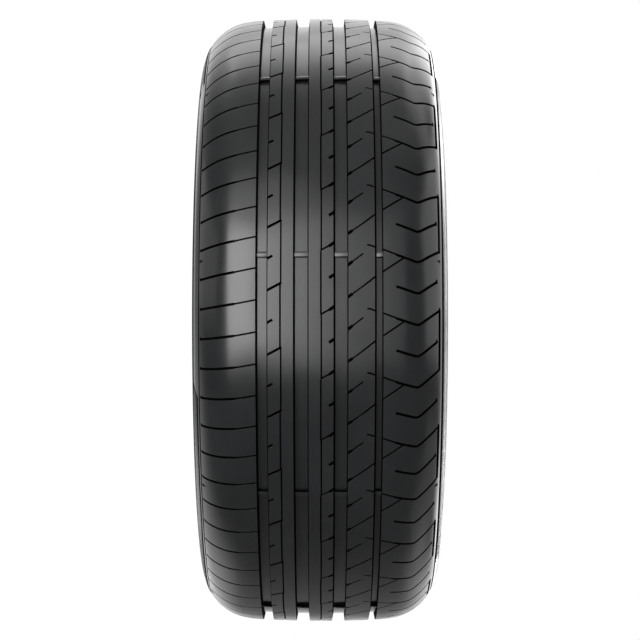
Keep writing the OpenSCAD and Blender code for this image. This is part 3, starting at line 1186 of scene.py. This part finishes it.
@dataclass
class WearBars:
    """Bars across the floor of each main groove, which come level with the tread when it is worn."""

    section: Section
    pattern: TreadPattern
    spread: SpreadTree
    count: int = 9
    height: float = 3.8
    length: float = 5.2
    # Height of the rounded crest above its two edges, and its facets
    crest: float = 0.45
    crest_steps: int = 8
    crest_gap: float = 0.02
    foot: float = 0.2
    sharp: float = 30.0
    # How much lower the crest is at the lower wall, and its facets across the groove
    fall: float = 0.9
    across: int = 6
    sink: float = 0.6
    # Place of the first row, in steps of the pattern, and what is added before a place is let down to one
    shift: float = 2.1
    phase: float = 0.7

    def place(self) -> dict[str, float]:
        """Inputs that set the bars at whole steps of the pattern, as evenly as those allow."""
        step = 2 * math.pi / (4 * self.pattern.repeat_count)
        return {
            "count": self.count,
            "start": Tyre.START - self.shift * step,
            "spacing": 2 * math.pi / self.count,
            "snap": step,
            "phase": self.phase,
        }

    def bar(self, groove: Groove) -> Shell:
        """One bar in a groove: steep flanks with painted shade and a rounded crest, let into the walls and
        floor.
        """
        floor = self.section.face((groove.low + groove.high) / 2)[0] - groove.depth
        low, high = groove.width_at(self.height)
        low, high = low - self.sink, high + self.sink
        half, foot = self.length / 2, self.foot
        # The flanks are painted near black with the cuts' painted shade; the crest takes the groove's depth
        # and stays unshaded
        rows = [(-half, -self.sink, FULL_SHADE_DEPTH, 0.0), (-half + foot, self.height - self.crest, FULL_SHADE_DEPTH, self.fall)]
        for k in range(self.crest_steps + 1):
            share = 2 * k / self.crest_steps - 1
            lift = self.height - self.crest * share * share
            rows.append(((half - foot - self.crest_gap) * share, lift, groove.depth, self.fall))
        rows += [(half - foot, self.height - self.crest, FULL_SHADE_DEPTH, self.fall), (half, -self.sink, FULL_SHADE_DEPTH, 0.0)]
        points, depths = [], []
        for t, lift, depth, fall in rows:
            angle = t / self.section.tread_r
            for k in range(self.across + 1):
                share = k / self.across
                r = floor + lift - fall * (1 - share) ** 2
                points.append(spot(angle, r, low + (high - low) * share))
                depths.append(depth)
        wide, last = self.across + 1, len(rows) - 1
        faces = [(i * wide + k, i * wide + k + 1, (i + 1) * wide + k + 1, (i + 1) * wide + k)
                 for i in range(last) for k in range(self.across)]
        faces.append(tuple(range(wide)) + tuple(last * wide + k for k in range(self.across, -1, -1)))
        faces += [tuple(i * wide for i in range(last + 1)),
                  tuple(i * wide + self.across for i in range(last, -1, -1))]
        return Shell(points, depths, faces)

    def build(self, grooves: list[Groove], material: bpy.types.Material) -> bpy.types.Object:
        """Makes one set of four bars, and repeats it round the tyre."""
        shell = Shell()
        for groove in grooves:
            shell.join(self.bar(groove))
        piece = shell.piece("wear_bars")
        self.spread.spread(piece, material, **self.place())
        piece.data.polygons.foreach_set("use_smooth", [True] * len(piece.data.polygons))
        piece.data.set_sharp_from_angle(angle=math.radians(self.sharp))
        return piece


@dataclass
class WearMarks:
    """Small raised triangles on both shoulders, which show where the wear bars are."""

    section: Section
    bars: WearBars
    inner_z: float = 108.9
    outer_z: float = 111.9
    half: float = 1.5
    height: float = 0.3
    sink: float = 0.3
    offset: float = 3.2

    def mark(self, side: Side) -> Shell:
        """One triangle on a shoulder, with its foot let into the rubber."""
        corners = ((self.offset - self.half, self.outer_z), (self.offset + self.half, self.outer_z),
                   (self.offset, self.inner_z))
        points = []
        for lift in (-self.sink, self.height):
            for t, z in corners:
                r, lean = self.section.face(z)
                points.append(spot(t / self.section.tread_r, r + lift * math.cos(lean),
                                   side.value * (z + lift * math.sin(lean))))
        faces = [(0, 1, 2), (3, 4, 5), (0, 1, 4, 3), (1, 2, 5, 4), (2, 0, 3, 5)]
        # The marks are painted as dark as the painted shade inside a cut
        return Shell(points, [FULL_SHADE_DEPTH] * len(points), faces)

    def build(self, material: bpy.types.Material) -> bpy.types.Object:
        """Makes one mark on each shoulder, and repeats the pair beside every row of bars."""
        shell = Shell()
        for side in Side:
            shell.join(self.mark(side))
        piece = shell.piece("wear_marks")
        self.bars.spread.spread(piece, material, **self.bars.place())
        return piece


@dataclass(frozen=True)
class Softbox:
    """A soft rectangular lamp that faces the tyre."""

    name: str
    across: float
    up: float
    width: float
    height: float
    radiance: float
    distance: float = 3.0

    def hang(self) -> None:
        """Hangs the lamp at its two angles from the camera's side, both in degrees."""
        across, up = math.radians(self.across), math.radians(self.up)
        way = Vector((-math.sin(up), -math.cos(up) * math.cos(across), math.cos(up) * math.sin(across)))
        data = bpy.data.lights.new(self.name, "AREA")
        data.shape = "RECTANGLE"
        data.size, data.size_y = self.width, self.height
        data.energy = self.radiance * math.pi * self.width * self.height
        lamp = bpy.data.objects.new(self.name, data)
        right = (Vector((0, 0, 1)) - way * way.z).normalized()
        turn = Matrix((right, way.cross(right), way)).transposed()
        lamp.matrix_world = Matrix.Translation(way * self.distance) @ turn.to_4x4()
        bpy.context.scene.collection.objects.link(lamp)


class Way(Enum):
    """Directions that the light's level goes by, as the upright picture shows them."""

    RIGHT = "to the right"
    ASIDE = "to either side"
    DOWN = "down"
    BEHIND = "behind the tyre"
    LOW_SLANT = "down, less a share of right"
    HIGH_SLANT = "down, plus a share of right"


@dataclass(frozen=True)
class Fade:
    """A level that goes smoothly from one value to another along one direction."""

    way: Way
    start: float
    end: float
    low: float
    high: float


# Fades that several walls share
BACK_HALF = (Fade(Way.BEHIND, 0.0, 0.6, 0.0, 1.0),)
RIGHT_CORNER = (Fade(Way.RIGHT, 0.2, 0.42, 0.0, 1.0), Fade(Way.BEHIND, 0.1, 0.42, 0.0, 1.0))

# Each wall of light round the tyre is the product of its fades, and the walls add up
WALLS = {
    "ceiling": (Fade(Way.DOWN, -0.6, -0.95, 0.0, 0.25),),
    "low right corner": RIGHT_CORNER + (Fade(Way.LOW_SLANT, 0.1, 0.35, 0.0, 0.45),),
    "high right corner": RIGHT_CORNER + (Fade(Way.HIGH_SLANT, -0.05, -0.35, 0.0, 1.0),),
    "right wall": (
        Fade(Way.RIGHT, 0.1, 0.55, 0.0, 10.0),
        Fade(Way.LOW_SLANT, -0.11, 0.1, 1.0, 0.1),
        Fade(Way.HIGH_SLANT, 0.05, -0.15, 1.0, 0.34),
        Fade(Way.BEHIND, 0.44, 1.0, 0.0, 1.0),
    ),
    "left wall": BACK_HALF + (
        Fade(Way.RIGHT, -0.1, -0.55, 0.0, 0.4),
        Fade(Way.DOWN, -0.1, 0.35, 0.3, 2.6),
    ),
    "back wall": BACK_HALF + (
        Fade(Way.ASIDE, 0.66, 0.3, 0.0, 1.3),
        Fade(Way.DOWN, 0.55, 0.2, 0.09, 1.0),
    ),
}

# The lamps, each with its angles across and up, its width and height in metres, and its level
SOFTBOXES = (
    Softbox("key", -23.0, 10.0, 1.7, 2.4, 7.0),
    Softbox("key top", -23.0, 40.0, 1.7, 0.9, 1.6),
    Softbox("key edge", -3.5, 10.0, 0.4, 3.0, 3.0),
    Softbox("fill", 12.0, 10.0, 1.3, 2.8, 0.65),
    Softbox("right side", 89.5, 13.0, 2.36, 3.0, 1.2),
    Softbox("right top", 98.0, 50.0, 2.0, 0.9, 0.7),
    Softbox("right low", 97.0, -40.0, 2.2, 1.8, 0.35),
    Softbox("left side", -89.5, 14.0, 1.3, 3.4, 0.65),
    Softbox("hair", 0.0, 117.0, 2.6, 1.2, 1.05),
)


@dataclass
class Studio:
    """A white sweep, soft light and a level camera square to the tread."""

    distance: float = 2.1027
    lens: float = 109.05
    sensor: float = 36.0
    far: float = 50.0
    floor_size: float = 12.0
    floor_roughness: float = 0.9
    # Light that the floor gives the camera, and its share of what the camera sees there
    floor_glow: float = 1.1
    glow_share: float = 0.95
    # Light that comes from everywhere, even from the dark front
    dim_level: float = 0.2
    # Share of right in the two slanted directions
    slant: float = 0.6

    def camera(self) -> None:
        """Sets the camera in front of the tread, turned so that the upper sidewall is on the right."""
        data = bpy.data.cameras.new("camera")
        data.lens = self.lens
        data.sensor_width = self.sensor
        data.clip_end = self.far
        camera = bpy.data.objects.new("camera", data)
        right, up = Vector((0, 0, 1)), Vector((-1, 0, 0))
        turn = Matrix((right, up, right.cross(up))).transposed()
        camera.matrix_world = Matrix.Translation((0, -self.distance, 0)) @ turn.to_4x4()
        bpy.context.scene.collection.objects.link(camera)
        bpy.context.scene.camera = camera

    def floor(self, height: float) -> None:
        """Lays a white floor that takes a soft shadow and looks white to the camera."""
        half = self.floor_size / 2
        corners = [(-half, -half, height), (half, -half, height), (half, half, height), (-half, half, height)]
        mesh = mesh_of("floor", corners, [(0, 1, 2, 3)])
        floor = new_piece("floor", mesh)
        # Uncoated paper: an even white without gloss
        material = bpy.data.materials.new("white floor paper")
        material.use_nodes = True
        bench = NodeBench(material.node_tree)
        shader = bench.nodes["Principled BSDF"]
        bench.feed(shader.inputs["Base Color"], srgb("#F2F2F2"))
        bench.feed(shader.inputs["Roughness"], self.floor_roughness)
        path = bench.add("ShaderNodeLightPath")
        glow = bench.add("ShaderNodeEmission", Color=(1, 1, 1, 1), Strength=self.floor_glow)
        seen = bench.add("ShaderNodeMath", {"operation": "MULTIPLY"}, i0=path.outputs["Is Camera Ray"],
                         i1=self.glow_share)
        mix = bench.add("ShaderNodeMixShader", i0=seen.outputs[0], i1=shader.outputs[0], i2=glow.outputs[0])
        bench.feed(bench.nodes["Material Output"].inputs["Surface"], mix.outputs[0])
        mesh.materials.append(material)
        # The paper glows through: lamps behind it reach the tyre's lower shoulder
        floor.visible_glossy = False
        floor.visible_shadow = False

    def world(self) -> None:
        """Makes the surroundings white to the camera, and white walls with a dark front for the light."""
        world = bpy.data.worlds.new("studio")
        bpy.context.scene.world = world
        world.use_nodes = True
        bench = NodeBench(world.node_tree)
        seen = bench.add("ShaderNodeTexCoord").outputs["Generated"]
        axes = bench.add("ShaderNodeSeparateXYZ", Vector=seen).outputs
        ways = {Way.DOWN: axes["X"], Way.BEHIND: axes["Y"], Way.RIGHT: axes["Z"]}
        ways[Way.ASIDE] = bench.add("ShaderNodeMath", {"operation": "ABSOLUTE"}, i0=axes["Z"]).outputs[0]
        for way, slant in ((Way.LOW_SLANT, -self.slant), (Way.HIGH_SLANT, self.slant)):
            leaning = bench.add("ShaderNodeMath", {"operation": "MULTIPLY_ADD"}, i0=axes["Z"], i1=slant,
                                i2=axes["X"])
            ways[way] = leaning.outputs[0]
        total: Socket | float = self.dim_level
        for fades in WALLS.values():
            level: Socket | float = 1.0
            for fade in fades:
                ramp = bench.add("ShaderNodeMapRange", {"interpolation_type": "SMOOTHSTEP"},
                                 Value=ways[fade.way], From_Min=fade.start, From_Max=fade.end,
                                 To_Min=fade.low, To_Max=fade.high)
                level = bench.add("ShaderNodeMath", {"operation": "MULTIPLY"}, i0=level,
                                  i1=ramp.outputs[0]).outputs[0]
            total = bench.add("ShaderNodeMath", {"operation": "ADD"}, i0=total, i1=level).outputs[0]
        path = bench.add("ShaderNodeLightPath")
        shown = bench.add("ShaderNodeMix", {"data_type": "FLOAT"}, i0=path.outputs["Is Camera Ray"],
                          i2=total, i3=1.0)
        back = bench.nodes["Background"]
        bench.feed(back.inputs["Color"], (1, 1, 1, 1))
        bench.feed(back.inputs["Strength"], shown.outputs[0])

    def build(self, height: float) -> None:
        """Sets the camera, the floor, the surroundings and the lamps."""
        self.camera()
        self.floor(height)
        self.world()
        for softbox in SOFTBOXES:
            softbox.hang()
        bpy.context.scene.view_settings.view_transform = "Standard"


def hand_over(piece: bpy.types.Object) -> None:
    """Fixes a piece to the tyre's body, hides the CAD tyre, and logs its faces."""
    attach(piece, BODY)
    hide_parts(CAD_NODE)
    LOG.info("piece %s: %d faces", piece.name, len(piece.data.polygons))


def main() -> None:
    """Builds the studio, then the tyre's pieces in order."""
    logging.basicConfig(level=logging.INFO, format="%(name)s: %(message)s")
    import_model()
    low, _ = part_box(CAD_NODE)
    Studio().build(low.z)
    section = Section()
    pattern = TreadPattern(section.tread_r)
    spread = SpreadTree()
    # Pressed against the mould's machined segments: a soft sheen over a fine grain
    tread = MouldedRubber(
        "moulded tread rubber", base="#161718", bloom="#1B1C1D", cut_shade="#030303", roughness=0.24,
        roughness_spread=0.03, grain_mm=0.9, grain_height_mm=0.008, flow_mm=45.0).make()
    # Pressed against the mould's blasted plates: duller, with a coarser grain
    side = MouldedRubber(
        "moulded sidewall rubber", base="#171819", bloom="#1D1E1F", cut_shade="#060606", roughness=0.31,
        roughness_spread=0.04, grain_mm=1.4, grain_height_mm=0.02, flow_mm=60.0).make()
    # Pressed by the curing bladder: matt and faintly mottled
    liner = MouldedRubber(
        "bladder-moulded butyl liner", base="#1A1B1C", bloom="#252627", cut_shade="#060606", roughness=0.38,
        roughness_spread=0.08, grain_mm=3.0, grain_height_mm=0.08, flow_mm=25.0).make()
    hand_over(Tyre(section, pattern, spread).build(tread, side, liner))
    bars = WearBars(section, pattern, spread)
    hand_over(bars.build(pattern.grooves(), tread))
    hand_over(WearMarks(section, bars).build(tread))
    for piece in SidewallRelief(section, spread).build(side):
        hand_over(piece)


if __name__ == "__main__":
    main()
